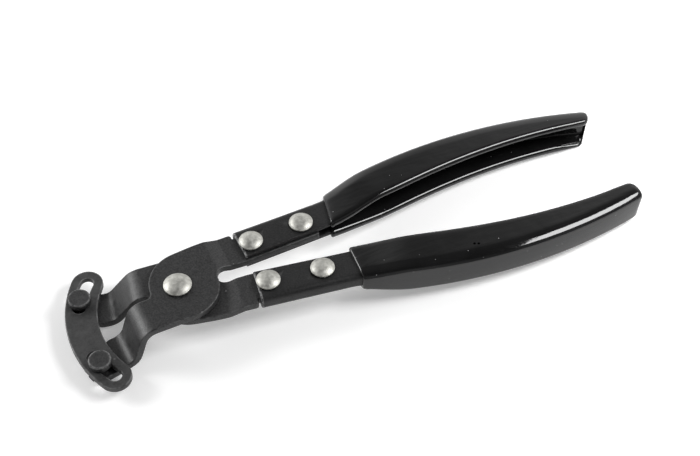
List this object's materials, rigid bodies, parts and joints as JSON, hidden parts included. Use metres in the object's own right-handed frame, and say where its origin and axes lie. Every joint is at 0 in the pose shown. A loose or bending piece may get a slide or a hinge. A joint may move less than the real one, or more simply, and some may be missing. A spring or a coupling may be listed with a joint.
{
  "type": "band clamp pliers",
  "caption": "Band-clamp pliers: crossed black steel levers on a domed rivet, stepped claw jaws bridged by a slotted guide plate, channel handles with glossy dipped grips.",
  "frame": {"origin": "on the pivot axis, at the flat tail of the pivot rivet", "axes": "+X along the tool to the handle ends, +Z along the pivot rivet to its domed head, +Y to the handle of the upper lever"},
  "size_m": [0.2416, 0.0694, 0.025],
  "materials": {
    "lever_black": "matte black phosphated steel",
    "channel_black": "matte black phosphated sheet steel",
    "plate_black": "matte dark grey steel",
    "pin_black": "matte black steel",
    "rivet_steel": "satin",
    "grip_vinyl": "glossy black dipped vinyl"
  },
  "bodies": {
    "top_half": {"top_lever": "lever_black", "pivot_rivet": "rivet_steel", "right_handle": "channel_black", "right_grip": "grip_vinyl", "right_front_rivet": "rivet_steel", "right_rear_rivet": "rivet_steel", "left_guide_pin": "pin_black"},
    "bottom_half": {"bottom_lever": "lever_black", "left_handle": "channel_black", "left_grip": "grip_vinyl", "left_front_rivet": "rivet_steel", "left_rear_rivet": "rivet_steel", "right_guide_pin": "pin_black"},
    "guide_plate": {"guide_plate": "plate_black"}
  },
  "joints": [
    {"name": "lever_pivot", "type": "hinge", "parent": "top_half", "child": "bottom_half", "pos_m": [0, 0, 0], "axis": [0, 0, 1], "range_deg": [-16, 10]},
    {"name": "plate_swing", "type": "hinge", "parent": "top_half", "child": "guide_plate", "pos_m": [0, 0, 0], "axis": [0, 0, 1], "range_deg": [-10.2, 6.4]}
  ],
  "couplings": [
    {"joint": "plate_swing", "follows": "lever_pivot", "ratio": 0.63}
  ]
}
